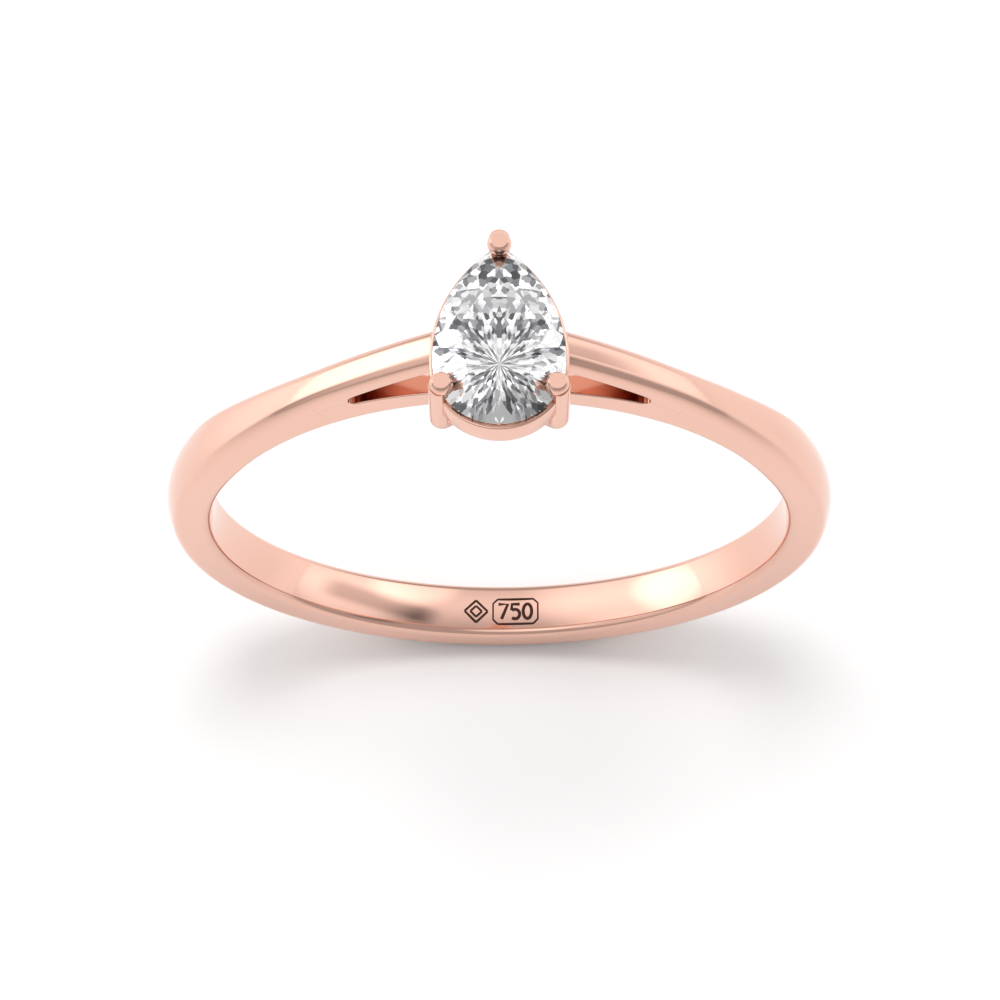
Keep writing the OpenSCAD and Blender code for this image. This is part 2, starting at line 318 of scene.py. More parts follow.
def shard_place(tree, culet_y):
    """Bearing about the culet and distance from it, alike on both sides, and which side it is."""
    place = add_node(tree, "ShaderNodeTexCoord").outputs["Object"]
    about_culet = add_node(
        tree,
        "ShaderNodeVectorMath",
        {"operation": "SUBTRACT"},
        {1: (0.0, culet_y * MM, 0.0)},
        {0: place},
    )
    axes = add_node(tree, "ShaderNodeSeparateXYZ", links={"Vector": about_culet.outputs["Vector"]})
    beside = add_node(tree, "ShaderNodeMath", {"operation": "ABSOLUTE"}, links={0: axes.outputs["X"]})
    side = add_node(tree, "ShaderNodeMath", {"operation": "SIGN"}, links={0: axes.outputs["X"]})
    bearing = add_node(
        tree, "ShaderNodeMath", {"operation": "ARCTAN2"}, links={0: axes.outputs["Y"], 1: beside.outputs[0]}
    )
    flat = add_node(tree, "ShaderNodeCombineXYZ", links={"X": axes.outputs["X"], "Y": axes.outputs["Y"]})
    run = add_node(tree, "ShaderNodeVectorMath", {"operation": "LENGTH"}, links={0: flat.outputs["Vector"]})
    round_culet = add_node(
        tree, "ShaderNodeMath", {"operation": "MULTIPLY"}, {1: SHARDS_PER_RADIAN}, {0: bearing.outputs[0]}
    )
    along_run = add_node(
        tree, "ShaderNodeMath", {"operation": "MULTIPLY"}, {1: SHARDS_PER_MM / MM}, {0: run.outputs["Value"]}
    )
    shard_at = add_node(
        tree, "ShaderNodeCombineXYZ", links={"X": round_culet.outputs[0], "Y": along_run.outputs[0]}
    )
    shifted = add_node(
        tree, "ShaderNodeVectorMath", {"operation": "ADD"}, {1: SHARD_SHIFT}, {0: shard_at.outputs["Vector"]}
    )
    return shifted.outputs["Vector"], side.outputs[0]


def turned_shards(tree, place, scale, tilt, cut):
    """One layer of shards: the colour that tells them apart, and how each is turned."""
    shards = add_node(
        tree,
        "ShaderNodeTexVoronoi",
        {"voronoi_dimensions": "2D", "distance": cut},
        {"Scale": scale, "Randomness": 1.0},
        {"Vector": place},
    )
    turn = add_node(
        tree,
        "ShaderNodeVectorMath",
        {"operation": "MULTIPLY_ADD"},
        {1: (tilt, tilt, 0.0), 2: (-tilt / 2, -tilt / 2, 0.0)},
        {0: shards.outputs["Color"]},
    )
    own = add_node(tree, "ShaderNodeSeparateColor", links={"Color": shards.outputs["Color"]})
    return own.outputs["Blue"], turn.outputs["Vector"]


def colourless_diamond(name, culet_y):
    """Colourless diamond, brilliant cut. Its back facets return nearly all the light, so it is mostly mirror:
    shards, long toward the culet and alike on both sides, each turned its own way, some a shade greyer. The
    grey and white of the shards is painted reflection: it stands in for the dark and bright things that the
    facets mirror."""
    material, tree = new_material(name)
    place, side = shard_place(tree, culet_y)
    (large, large_turn), (small, small_turn) = [turned_shards(tree, place, *cut) for cut in SHARD_CUTS]
    both = add_node(tree, "ShaderNodeVectorMath", {"operation": "ADD"}, links={0: large_turn, 1: small_turn})
    sides = add_node(tree, "ShaderNodeCombineXYZ", inputs={"Y": 1.0, "Z": 1.0}, links={"X": side})
    surface = add_node(tree, "ShaderNodeNewGeometry")
    facing = add_node(
        tree,
        "ShaderNodeVectorMath",
        {"operation": "MULTIPLY_ADD"},
        links={0: both.outputs["Vector"], 1: sides.outputs["Vector"], 2: surface.outputs["Normal"]},
    )
    face_out = add_node(
        tree, "ShaderNodeVectorMath", {"operation": "NORMALIZE"}, links={0: facing.outputs["Vector"]}
    )
    shade = add_node(
        tree, "ShaderNodeMix", {"data_type": "FLOAT"}, {"Factor": SLIVER_SHARE}, {"A": large, "B": small}
    )
    # Painted reflection: each shard's grey or white base colour
    reflection_ramp = add_node(tree, "ShaderNodeValToRGB", links={"Fac": shade.outputs["Result"]})
    tones = reflection_ramp.color_ramp.elements
    tones.new(SHARD_PAINTED_REFLECTIONS[1][0])
    for tone, (position, colour) in zip(tones, SHARD_PAINTED_REFLECTIONS):
        tone.position = position
        tone.color = linear(colour)
    glass = add_node(
        tree,
        "ShaderNodeBsdfPrincipled",
        inputs={
            "Roughness": DIAMOND_ROUGHNESS,
            "IOR": DIAMOND_IOR,
            "Metallic": MIRROR_SHARE,
            "Transmission Weight": 1.0,
        },
        links={"Base Color": reflection_ramp.outputs["Color"], "Normal": face_out.outputs["Vector"]},
    )
    add_node(tree, "ShaderNodeOutputMaterial", links={"Surface": glass.outputs["BSDF"]})
    return material


def burnt_mark(name):
    """Laser-burnt rose gold: matt dark brown, so the fineness mark reads against the polish."""
    material, tree = new_material(name)
    place = add_node(tree, "ShaderNodeTexCoord").outputs["Object"]
    scorch = add_node(
        tree, "ShaderNodeTexNoise", inputs={"Scale": SCORCH_PER_MM / MM}, links={"Vector": place}
    )
    tone = add_node(tree, "ShaderNodeMix", {"data_type": "RGBA"}, links={"Factor": scorch.outputs["Fac"]})
    tone.inputs["A"].default_value = linear(BURN_LIGHT)
    tone.inputs["B"].default_value = linear(BURN_DARK)
    burnt = add_node(
        tree,
        "ShaderNodeBsdfPrincipled",
        inputs={"Roughness": BURN_ROUGHNESS, "Specular IOR Level": BURN_SHEEN},
        links={"Base Color": tone.outputs["Result"]},
    )
    add_node(tree, "ShaderNodeOutputMaterial", links={"Surface": burnt.outputs["BSDF"]})
    return material


def white_acrylic(name):
    """Satin white acrylic sheet: near white, with a faint soft reflection at a glance."""
    material, tree = new_material(name)
    sheet = add_node(
        tree,
        "ShaderNodeBsdfPrincipled",
        inputs={"Base Color": linear(ACRYLIC), "Roughness": ACRYLIC_ROUGHNESS, "IOR": ACRYLIC_IOR},
    )
    add_node(tree, "ShaderNodeOutputMaterial", links={"Surface": sheet.outputs["BSDF"]})
    return material


band_gold = polished_rose_gold("rose_gold_polished_band", BAND_ROUGHNESS)
head_gold = polished_rose_gold("rose_gold_polished_head", HEAD_ROUGHNESS)
mark_brown = burnt_mark("rose_gold_laser_mark")


# ---------------------------------------------------------------- mesh helpers


def smooth_with_creases(bm, crease_angle):
    """Smooth faces, with a crisp edge wherever two faces meet at more than the angle."""
    for face in bm.faces:
        face.smooth = True
    for edge in bm.edges:
        if len(edge.link_faces) == 2:
            edge.smooth = edge.calc_face_angle(0) < math.radians(crease_angle)


def make_object(name, mesh):
    made = bpy.data.objects.new(name, mesh)
    bpy.context.scene.collection.objects.link(made)
    return made


def make_piece(name, bm, material, crease_angle):
    bmesh.ops.recalc_face_normals(bm, faces=bm.faces)
    smooth_with_creases(bm, crease_angle)
    mesh = bpy.data.meshes.new(name)
    bm.to_mesh(mesh)
    bm.free()
    mesh.materials.append(material)
    return make_object(name, mesh)


def loft(sections, closed):
    """Skins equal closed sections of points in millimetres, joined end to end or capped."""
    bm = bmesh.new()
    rings = [[bm.verts.new(Vector(point) * MM) for point in section] for section in sections]
    count = len(rings[0])
    pairs = list(zip(rings, rings[1:]))
    if closed:
        pairs.append((rings[-1], rings[0]))
    for near, far in pairs:
        for i in range(count):
            j = (i + 1) % count
            bm.faces.new((near[i], near[j], far[j], far[i]))
    if not closed:
        bm.faces.new(rings[0])
        bm.faces.new(list(reversed(rings[-1])))
    return bm


def oval_points(centre, radii, start, end, count):
    """Points on an oval in the plane, from one angle to another."""
    angles = [mix(start, end, i / count) for i in range(count + 1)]
    return [(centre[0] + radii[0] * cos_deg(a), centre[1] + radii[1] * sin_deg(a)) for a in angles]


def arc_points(centre, radius, start, end, count):
    return oval_points(centre, (radius, radius), start, end, count)


def angle_steps(start, end, step):
    count = max(1, round((end - start) / step))
    return [mix(start, end, i / count) for i in range(count + 1)]


def mirrored(section):
    """The same section on the left of the ring, its points kept in the same order round the loop."""
    return [(-x, y, z) for x, y, z in section]


# ---------------------------------------------------------------- hoop and shoulders

# The shoulder's arc springs from the edge of the dome and ends at the head
edge_r = CROWN_R - DOME_R + math.sqrt(DOME_R ** 2 - HALF_W ** 2)
spring_x = edge_r * cos_deg(LEAVE_ANGLE)
spring_z = edge_r * sin_deg(LEAVE_ANGLE)
chord = math.hypot(spring_x - HEAD_X, HEAD_Z - spring_z)
chord_angle = math.degrees(math.atan2(HEAD_Z - spring_z, HEAD_X - spring_x))
ARM_R = chord ** 2 / (8 * BULGE) + BULGE / 2
ARM_X = (spring_x + HEAD_X) / 2 - (ARM_R - BULGE) * sin_deg(chord_angle)
ARM_Z = (spring_z + HEAD_Z) / 2 + (ARM_R - BULGE) * cos_deg(chord_angle)


def soft_clamp(share, soft):
    """A share held between 0 and 1, with its two corners rounded."""
    if share < -soft:
        return 0.0
    if share < soft:
        return (share + soft) ** 2 / (4 * soft)
    if share > 1 + soft:
        return 1.0
    if share > 1 - soft:
        return 1 - (1 + soft - share) ** 2 / (4 * soft)
    return share


def half_width(z):
    """Half the ring's width at height z: full below, narrowing to the head."""
    return mix(HALF_W, HEAD_HALF, soft_clamp((z - TAPER_START) / (TAPER_END - TAPER_START), TAPER_SOFT))


def reach_at(angle, radius):
    """Distance from the finger's axis to an arc of that radius about the shoulder's centre."""
    along = ARM_X * cos_deg(angle) + ARM_Z * sin_deg(angle)
    return along + math.sqrt(along ** 2 - ARM_X ** 2 - ARM_Z ** 2 + radius ** 2)


def crown_at(angle):
    """Outside of the ring at its middle, by angle above horizontal: the hoop, then the shoulder's arc."""
    hoop = CROWN_R - THINNING * ease(angle, THIN_FROM, THIN_TO)
    if angle < JOIN_FROM:
        return hoop
    return mix(hoop, reach_at(angle, ARM_R + CROWN_RISE), ease(angle, JOIN_FROM, JOIN_TO))


def across_and_back(start, middle):
    """A line across the ring: its start, its middle and its start mirrored."""
    return start + middle + [(-y, r) for y, r in reversed(start)]


def dome_line(angle):
    """The outside from one side face over the dome to the other, as (y, r), and half the width there."""
    crown = crown_at(angle)
    half = half_width(crown * sin_deg(angle))
    flatness = ease(angle, FLATTEN_FROM, FLATTEN_TO)
    dome = mix(DOME_R, SHOULDER_DOME_R, flatness)
    fillet = mix(OUTER_ROUND, SHOULDER_ROUND, flatness)
    low = crown - dome + math.sqrt((dome - fillet) ** 2 - (half - fillet) ** 2)
    turn = math.degrees(math.atan2(low - crown + dome, half - fillet))
    corner = arc_points((half - fillet, low), fillet, 0, turn, CORNER_STEPS)
    top = arc_points((0, crown - dome), dome, turn, 180 - turn, DOME_STEPS)[1:-1]
    return across_and_back(corner, top), half


def inside_line(radius, half, rounding, crown):
    """Rounded corner, slightly crowned inside and rounded corner, as (y, r) from -half to +half."""
    corner = arc_points((half - rounding, radius + crown + rounding), rounding, 0, -90, CORNER_STEPS)
    shares = FLAT_SHARES + (0,) + tuple(-share for share in reversed(FLAT_SHARES))
    flat = [(share * (half - rounding), radius + crown * share * share) for share in shares]
    return list(reversed(across_and_back(corner, flat)))


def bore_line(half):
    return inside_line(BORE_R, half, COMFORT_ROUND, COMFORT_CROWN)


def ring_section(outside, inside, angle, half):
    """Joins two (y, r) lines into a loop at an angle, with a point just inside each end of the flat sides.
    Each height gets the ring's own width there."""
    front_y, back_y = outside[0][0], -outside[0][0]
    back = [(back_y, outside[-1][1] - SIDE_HOLD), (back_y, inside[0][1] + SIDE_HOLD)]
    front = [(front_y, inside[-1][1] + SIDE_HOLD), (front_y, outside[0][1] - SIDE_HOLD)]
    placed = []
    for y, r in outside + back + inside + front:
        z = r * sin_deg(angle)
        placed.append((r * cos_deg(angle), y * half_width(z) / half, z))
    return placed


under_r = ARM_R - ARM_THICK
window_top = reach_at(WINDOW_ANGLE, under_r)
window_mid = (BRIDGE_R + window_top) / 2
window_round = (window_top - BRIDGE_R) / 2
TIP_ANGLE = WINDOW_ANGLE - math.degrees(math.asin(window_round / window_mid))


def window_edge(angle, upper):
    """Lower or upper edge of the window. Before its tip both follow the joint under the shoulder."""
    if angle <= TIP_ANGLE:
        tip = window_mid * cos_deg(WINDOW_ANGLE - TIP_ANGLE)
        return mix(BRIDGE_R, tip, (angle - JOINT_ANGLE) / (TIP_ANGLE - JOINT_ANGLE))
    if angle >= WINDOW_ANGLE:
        return reach_at(angle, under_r) if upper else BRIDGE_R
    turn = WINDOW_ANGLE - angle
    opened = 1 - (window_mid * sin_deg(turn) / window_round) ** 2
    half = window_round * max(opened, 0.0) ** TIP_TAPER
    return window_mid * cos_deg(turn) + (half if upper else -half)


def edge_softness(angle):
    """Rounding of the window's edges: crisp at the joint, softly broken along the opening."""
    return mix(JOINT_EDGE, WINDOW_EDGE, ease(angle, TIP_ANGLE, TIP_ANGLE + EDGE_GROWTH))


def hoop_section(angle):
    outside, half = dome_line(angle)
    return ring_section(outside, bore_line(half), angle, half)


def bridge_section(angle):
    """The bridge has a flat top with as many points as the hoop's dome."""
    top = window_edge(angle, False)
    half = half_width(top * sin_deg(angle))
    soft = edge_softness(angle)
    corner = arc_points((half - soft, top - soft), soft, 0, 90, CORNER_STEPS)
    shares = [1 - 2 * (i + 1) / DOME_STEPS for i in range(DOME_STEPS - 1)]
    flat = [(max(min(half * share, half - soft), soft - half), top) for share in shares]
    return ring_section(across_and_back(corner, flat), bore_line(half), angle, half)


def shoulder_section(angle):
    outside, half = dome_line(angle)
    inside = inside_line(window_edge(angle, True), half, edge_softness(angle), 0)
    return ring_section(outside, inside, angle, half)


def window_angles(end):
    """Angles from the joint across the window, close together round its tip."""
    before = angle_steps(JOINT_ANGLE + JOINT_STEP, TIP_ANGLE, BAND_STEP)
    tip = [mix(TIP_ANGLE, WINDOW_ANGLE, share ** 2) for share in TIP_SHARES]
    return [JOINT_ANGLE] + before + tip + angle_steps(WINDOW_ANGLE, end, BAND_STEP)


hoop_angles = angle_steps(-90, JOINT_ANGLE - JOINT_STEP, BAND_STEP) + [JOINT_ANGLE]
right = [hoop_section(a) for a in hoop_angles] + [bridge_section(a) for a in window_angles(90)]
left = [mirrored(section) for section in reversed(right[1:-1])]
shank = make_piece("band_hoop", loft(right + left, True), band_gold, BAND_CREASE)

arm = [shoulder_section(a) for a in window_angles(SHOULDER_END)]
shoulder_right = make_piece("band_shoulder_right", loft(arm, False), band_gold, BAND_CREASE)
left_arm = [mirrored(section) for section in arm]
shoulder_left = make_piece("band_shoulder_left", loft(left_arm, False), band_gold, BAND_CREASE)


# ---------------------------------------------------------------- pear outline and gallery rail

# A wing's centre lies past the mirror plane, and the round end's arc meets both wings smoothly
wing_x = WING_R - STONE_HALF
wing_y = STONE_LENGTH / 2 - math.sqrt(WING_R ** 2 - wing_x ** 2)
drop = WING_R - STONE_LENGTH / 2 - wing_y
shift = (drop ** 2 + wing_x ** 2) / (2 * drop)
end_r = WING_R - shift
end_y = end_r - STONE_LENGTH / 2
blend_angle = math.degrees(math.asin((drop - shift) / shift))


def pear_point(angle, out):
    """Point outside the right half of the girdle by a distance, met at its mirror plane near the point."""
    if angle <= blend_angle:
        return ((end_r + out) * cos_deg(angle), end_y + (end_r + out) * sin_deg(angle))
    radius = WING_R + out
    point_angle = math.degrees(math.acos(wing_x / radius))
    bearing = min(angle, point_angle)
    return (radius * cos_deg(bearing) - wing_x, wing_y + radius * sin_deg(bearing))


def rail_section(angle):
    """Rail wall at one direction: rounded outside, seat bevelled under the stone's pavilion inside."""
    outer = rail_high.x - STONE_HALF
    inner = outer - RAIL_WALL
    low, high = rail_low.z, rail_high.z
    top_round = RAIL_ROUND / 2
    seat_low = high - (-inner - SEAT_IN) * SEAT_FALL
    wall = arc_points((outer - RAIL_ROUND, low + RAIL_ROUND), RAIL_ROUND, -90, 0, RAIL_STEPS)
    wall += arc_points((outer - top_round, high - top_round), top_round, 0, 90, RAIL_STEPS)
    wall += [(SEAT_LIP - SEAT_IN, high), (-SEAT_IN, high - SEAT_DROP), (inner, seat_low)]
    wall += [(inner, low + RAIL_BREAK), (inner + RAIL_BREAK, low)]
    return [pear_point(angle, out) + (z,) for out, z in wall]


tip_angle = math.degrees(math.acos(wing_x / (WING_R + POINT_MARGIN)))
rail_angles = angle_steps(-90, blend_angle, ROUND_END_STEP)
rail_angles += angle_steps(blend_angle + WING_STEP, tip_angle, WING_STEP)
rail_right = [rail_section(a) for a in rail_angles]
rail_left = [mirrored(section) for section in reversed(rail_right[1:-1])]
gallery = make_piece("head_gallery_rail", loft(rail_right + rail_left, True), head_gold, HEAD_CREASE)


# ---------------------------------------------------------------- claws


def claw_path(tree, size):
    """The claw's centre line: 0 at the collet, 1 at the knee, 2 at the bead, bent round the knee."""
    number = add_node(tree, "GeometryNodeInputIndex").outputs["Index"]
    corners = add_node(tree, "GeometryNodeMeshLine", inputs={"Count": PATH_CORNERS})
    is_out = add_node(tree, "ShaderNodeMath", {"operation": "MINIMUM"}, {1: 1.0}, {0: number})
    is_up = add_node(tree, "ShaderNodeMath", {"operation": "GREATER_THAN"}, {1: 1.5}, {0: number})
    x = add_node(
        tree, "ShaderNodeMath", {"operation": "MULTIPLY"}, links={0: is_out.outputs[0], 1: size["Reach"]}
    )
    rise = add_node(
        tree,
        "ShaderNodeMath",
        {"operation": "SUBTRACT"},
        links={0: size["Bead Height"], 1: size["Foot Height"]},
    )
    z = add_node(
        tree,
        "ShaderNodeMath",
        {"operation": "MULTIPLY_ADD"},
        links={0: is_up.outputs[0], 1: rise.outputs[0], 2: size["Foot Height"]},
    )
    corner = add_node(tree, "ShaderNodeCombineXYZ", links={"X": x.outputs[0], "Z": z.outputs[0]})
    placed = add_node(
        tree,
        "GeometryNodeSetPosition",
        links={"Geometry": corners.outputs["Mesh"], "Position": corner.outputs["Vector"]},
    )
    path = add_node(tree, "GeometryNodeMeshToCurve", links={"Mesh": placed.outputs["Geometry"]})
    bent = add_node(
        tree,
        "GeometryNodeFilletCurve",
        {"mode": "POLY"},
        {"Count": KNEE_STEPS},
        {"Curve": path.outputs["Curve"], "Radius": size["Knee Radius"]},
    )
    return bent.outputs["Curve"]


def claw_bead(tree, size):
    """The ball at the claw's end, leaning in over the stone."""
    ball = add_node(
        tree,
        "GeometryNodeMeshUVSphere",
        inputs={"Segments": BEAD_SEGMENTS, "Rings": BEAD_RINGS},
        links={"Radius": size["Bead Radius"]},
    )
    bead_x = add_node(
        tree, "ShaderNodeMath", {"operation": "SUBTRACT"}, links={0: size["Reach"], 1: size["Bead Lean"]}
    )
    bead_at = add_node(tree, "ShaderNodeCombineXYZ", links={"X": bead_x.outputs[0], "Z": size["Bead Height"]})
    bead = add_node(
        tree,
        "GeometryNodeTransform",
        links={"Geometry": ball.outputs["Mesh"], "Translation": bead_at.outputs["Vector"]},
    )
    return bead.outputs["Geometry"]


def claw_tree():
    """Claw wire swept along its path: out from the collet, round the knee and up into its bead."""
    tree = bpy.data.node_groups.new("claw_wire", "GeometryNodeTree")
    heights = ["Foot Height", "Bead Height"]
    radii = ["Knee Radius", "Wire Radius", "Bead Radius"]
    for label in ["Reach"] + heights + radii + ["Bead Lean"]:
        tree.interface.new_socket(label, in_out="INPUT", socket_type="NodeSocketFloat")
    tree.interface.new_socket("Metal", in_out="INPUT", socket_type="NodeSocketMaterial")
    tree.interface.new_socket("Claw", in_out="OUTPUT", socket_type="NodeSocketGeometry")
    size = add_node(tree, "NodeGroupInput").outputs
    circle = add_node(
        tree,
        "GeometryNodeCurvePrimitiveCircle",
        inputs={"Resolution": WIRE_SIDES},
        links={"Radius": size["Wire Radius"]},
    )
    wire = add_node(
        tree,
        "GeometryNodeCurveToMesh",
        inputs={"Fill Caps": True},
        links={"Curve": claw_path(tree, size), "Profile Curve": circle.outputs["Curve"]},
    )
    whole = add_node(tree, "GeometryNodeJoinGeometry")
    tree.links.new(wire.outputs["Mesh"], whole.inputs["Geometry"])
    tree.links.new(claw_bead(tree, size), whole.inputs["Geometry"])
    real = add_node(tree, "GeometryNodeRealizeInstances", links={"Geometry": whole.outputs["Geometry"]})
    gilded = add_node(
        tree,
        "GeometryNodeSetMaterial",
        links={"Geometry": real.outputs["Geometry"], "Material": size["Metal"]},
    )
    add_node(tree, "NodeGroupOutput", links={"Claw": gilded.outputs["Geometry"]})
    return tree


def evaluated_mesh(carrier, name):
    """The mesh that a carrier's modifiers make, as plain data."""
    view = bpy.context.evaluated_depsgraph_get()
    mesh = bpy.data.meshes.new_from_object(carrier.evaluated_get(view))
    mesh.name = name
    return mesh


def wire_mesh(tree, name, reach, lean):
    """The tree's claw, along +X, as plain data."""
    carrier = make_object(name + "_path", bpy.data.meshes.new(name + "_path"))
    modifier = carrier.modifiers.new("wire", "NODES")
    modifier.node_group = tree
    values = {
        "Reach": reach * MM,
        "Foot Height": (claw_low.z + WIRE_R) * MM,
        "Bead Height": (claw_high.z - math.sqrt(BEAD_R ** 2 - BEAD_FLAT_R ** 2)) * MM,
        "Knee Radius": KNEE_R * MM,
        "Wire Radius": WIRE_R * MM,
        "Bead Radius": BEAD_R * MM,
        "Bead Lean": lean * MM,
        "Metal": head_gold,
    }
    for item in tree.interface.items_tree:
        if item.in_out == "INPUT":
            modifier[item.identifier] = values[item.name]
    mesh = evaluated_mesh(carrier, name)
    bpy.data.objects.remove(carrier)
    return mesh


def grow_claw(tree, name, reach, lean, turn):
    """One claw from the wire tree, its bead filed flat, turned to its place about the collet."""
    bm = bmesh.new()
    bm.from_mesh(wire_mesh(tree, name, reach, lean))
    bmesh.ops.remove_doubles(bm, verts=bm.verts, dist=WELD)
    filed = bmesh.ops.bisect_plane(
        bm,
        geom=bm.verts[:] + bm.edges[:] + bm.faces[:],
        dist=CUT_SNAP,
        plane_co=(0, 0, claw_high.z * MM),
        plane_no=(0, 0, 1),
        clear_outer=True,
    )
    rim = [part for part in filed["geom_cut"] if isinstance(part, bmesh.types.BMEdge)]
    bmesh.ops.edgeloop_fill(bm, edges=rim)
    along_x, along_y = cos_deg(turn), sin_deg(turn)
    for corner in bm.verts:
        x, y, z = corner.co
        corner.co = Vector((x * along_x - y * along_y, x * along_y + y * along_x, z))
    return bm


def stone_cutter():
    """A closed copy of the stone, to cut its notch in each claw."""
    bm = bmesh.new()
    bm.from_mesh(frame["nodes"]["diamond"].data)
    bmesh.ops.remove_doubles(bm, verts=bm.verts, dist=STONE_WELD)
    mesh = bpy.data.meshes.new("stone_cutter")
    bm.to_mesh(mesh)
    bm.free()
    return make_object("stone_cutter", mesh)


def notch_for_stone(piece, cutter):
    bite = piece.modifiers.new("notch", "BOOLEAN")
    bite.object = cutter
    bite.operation = "DIFFERENCE"
    bite.solver = "EXACT"
    bite.use_self = True
    mesh = evaluated_mesh(piece, piece.name)
    piece.modifiers.clear()
    piece.data = mesh
    bm = bmesh.new()
    bm.from_mesh(mesh)
    smooth_with_creases(bm, HEAD_CREASE)
    bm.to_mesh(mesh)
    bm.free()


claw_x, claw_y = pear_point(-CLAW_ANGLE, CLAW_OUT)
claw_reach = math.hypot(claw_x, claw_y)
claw_turn = math.degrees(math.atan2(claw_y, claw_x))

wire_tree = claw_tree()
cutter = stone_cutter()
claws = {}
for node, reach, lean, turn in (
    ("claw_right", claw_reach, BEAD_LEAN, claw_turn),
    ("claw_left", claw_reach, BEAD_LEAN, 180 - claw_turn),
    ("claw_point", STONE_LENGTH / 2 + CLAW_OUT, POINT_BEAD_LEAN, 90),
):
    grown = grow_claw(wire_tree, node, reach, lean, turn)
    claws[node] = make_piece("head_" + node, grown, head_gold, HEAD_CREASE)
    notch_for_stone(claws[node], cutter)
bpy.data.objects.remove(cutter)


# ---------------------------------------------------------------- collet


def lathe(profile, steps):
    """Turns a profile of (radius, height) about the stone's axis."""
    turns = [360 * i / steps for i in range(steps)]
    return loft([[(r * cos_deg(a), r * sin_deg(a), z) for r, z in profile] for a in turns], True)


collet_low_z = BRIDGE_R - COLLET_SUNK
collet_profile = [(AXIS_HOLE, collet_low_z), (COLLET_R - COLLET_BREAK, collet_low_z)]
collet_profile += [(COLLET_R, collet_low_z + COLLET_BREAK)]
collet_profile += arc_points(
    (COLLET_R - COLLET_ROUND, collet_high.z - COLLET_ROUND), COLLET_ROUND, 0, 90, RAIL_STEPS
)
collet_profile += [(AXIS_HOLE, collet_high.z)]
collet = make_piece("head_collet", lathe(collet_profile, COLLET_STEPS), head_gold, HEAD_CREASE)


# ---------------------------------------------------------------- fineness mark inside the hoop

# Drawn flat as (round the hoop, along the finger), then enlarged and laid on the inside opposite the stone
MARK_SCALE = 1.2
MARK_SHIFT = -0.08
BURN_HALF_DEPTH = 0.003
DIGIT_PEN = 0.1
FRAME_PEN = 0.05
LOZENGE_PEN = 0.07
DIGIT_HALF = 0.2
ZERO_HALF = 0.11
SEVEN_AT = 0.1
SEVEN_HALF = 0.12
SEVEN_FOOT = -0.04
FIVE_AT = 0.42
FIVE_LEFT, FIVE_RIGHT = -0.09, 0.11
FIVE_HEEL = (-0.1, 0.03)
BOWL_MIDDLE = (-0.01, -0.07)
BOWL_HALVES = (0.12, 0.13)
BOWL_TURN = 130
BOWL_STEPS = 12
ZERO_AT = 0.73
ZERO_STEPS = 18
FRAME_HALF_LENGTH = 0.58
FRAME_HALF_HEIGHT = 0.34
FRAME_CUT = 0.12
LOZENGE_AT = -0.6
LOZENGE_HALVES = (0.3, 0.15)


def on_bore(across, along, radius):
    """A flat point of the mark, wrapped onto the inside of the hoop."""
    angle = across / BORE_R
    return Vector((radius * math.sin(angle), along, -radius * math.cos(angle))) * MM


def mark_stroke(bm, line, pen):
    """One burnt stroke of the pen's width along a line of flat points."""
    line = [Vector((across * MARK_SCALE, along * MARK_SCALE + MARK_SHIFT)) for across, along in line]
    left, right = [], []
    for i, point in enumerate(line):
        before = line[max(i - 1, 0)]
        after = line[min(i + 1, len(line) - 1)]
        side = (after - before).normalized().orthogonal() * pen / 2
        left.append(point + side)
        right.append(point - side)
    outline = left + right[::-1]
    tops = [bm.verts.new(on_bore(*point, BORE_R - BURN_HALF_DEPTH)) for point in outline]
    backs = [bm.verts.new(on_bore(*point, BORE_R + BURN_HALF_DEPTH)) for point in outline]
    last = len(outline) - 1
    for i in range(len(line) - 1):
        bm.faces.new((tops[i], tops[i + 1], tops[last - i - 1], tops[last - i]))
        bm.faces.new((backs[last - i], backs[last - i - 1], backs[i + 1], backs[i]))
    for i in range(len(outline)):
        j = (i + 1) % len(outline)
        bm.faces.new((tops[i], backs[i], backs[j], tops[j]))


def mark_outline(bm, corners, pen):
    """A closed outline, one stroke to a side."""
    for start, end in zip(corners, corners[1:] + corners[:1]):
        mark_stroke(bm, [start, end], pen)


def digit_lines():
    """The strokes of 750. The zero is an open oval, closed by a short stroke of its own."""
    seven = [
        (SEVEN_AT - SEVEN_HALF, DIGIT_HALF),
        (SEVEN_AT + SEVEN_HALF, DIGIT_HALF),
        (SEVEN_AT + SEVEN_FOOT, -DIGIT_HALF),
    ]
    five = [
        (FIVE_AT + FIVE_RIGHT, DIGIT_HALF),
        (FIVE_AT + FIVE_LEFT, DIGIT_HALF),
        (FIVE_AT + FIVE_HEEL[0], FIVE_HEEL[1]),
    ]
    bowl_at = (FIVE_AT + BOWL_MIDDLE[0], BOWL_MIDDLE[1])
    bowl = oval_points(bowl_at, BOWL_HALVES, BOWL_TURN, -BOWL_TURN, BOWL_STEPS)
    zero = ((ZERO_AT, 0.0), (ZERO_HALF, DIGIT_HALF))
    return seven, five, bowl, oval_points(*zero, 0, 340, ZERO_STEPS), oval_points(*zero, 335, 365, 3)


def cut_cornered(middle, half_length, half_height, cut):
    """Corners of a rectangle with its corners cut off."""
    left, right = middle - half_length, middle + half_length
    return [
        (left, cut - half_height),
        (left + cut, -half_height),
        (right - cut, -half_height),
        (right, cut - half_height),
        (right, half_height - cut),
        (right - cut, half_height),
        (left + cut, half_height),
        (left, half_height - cut),
    ]


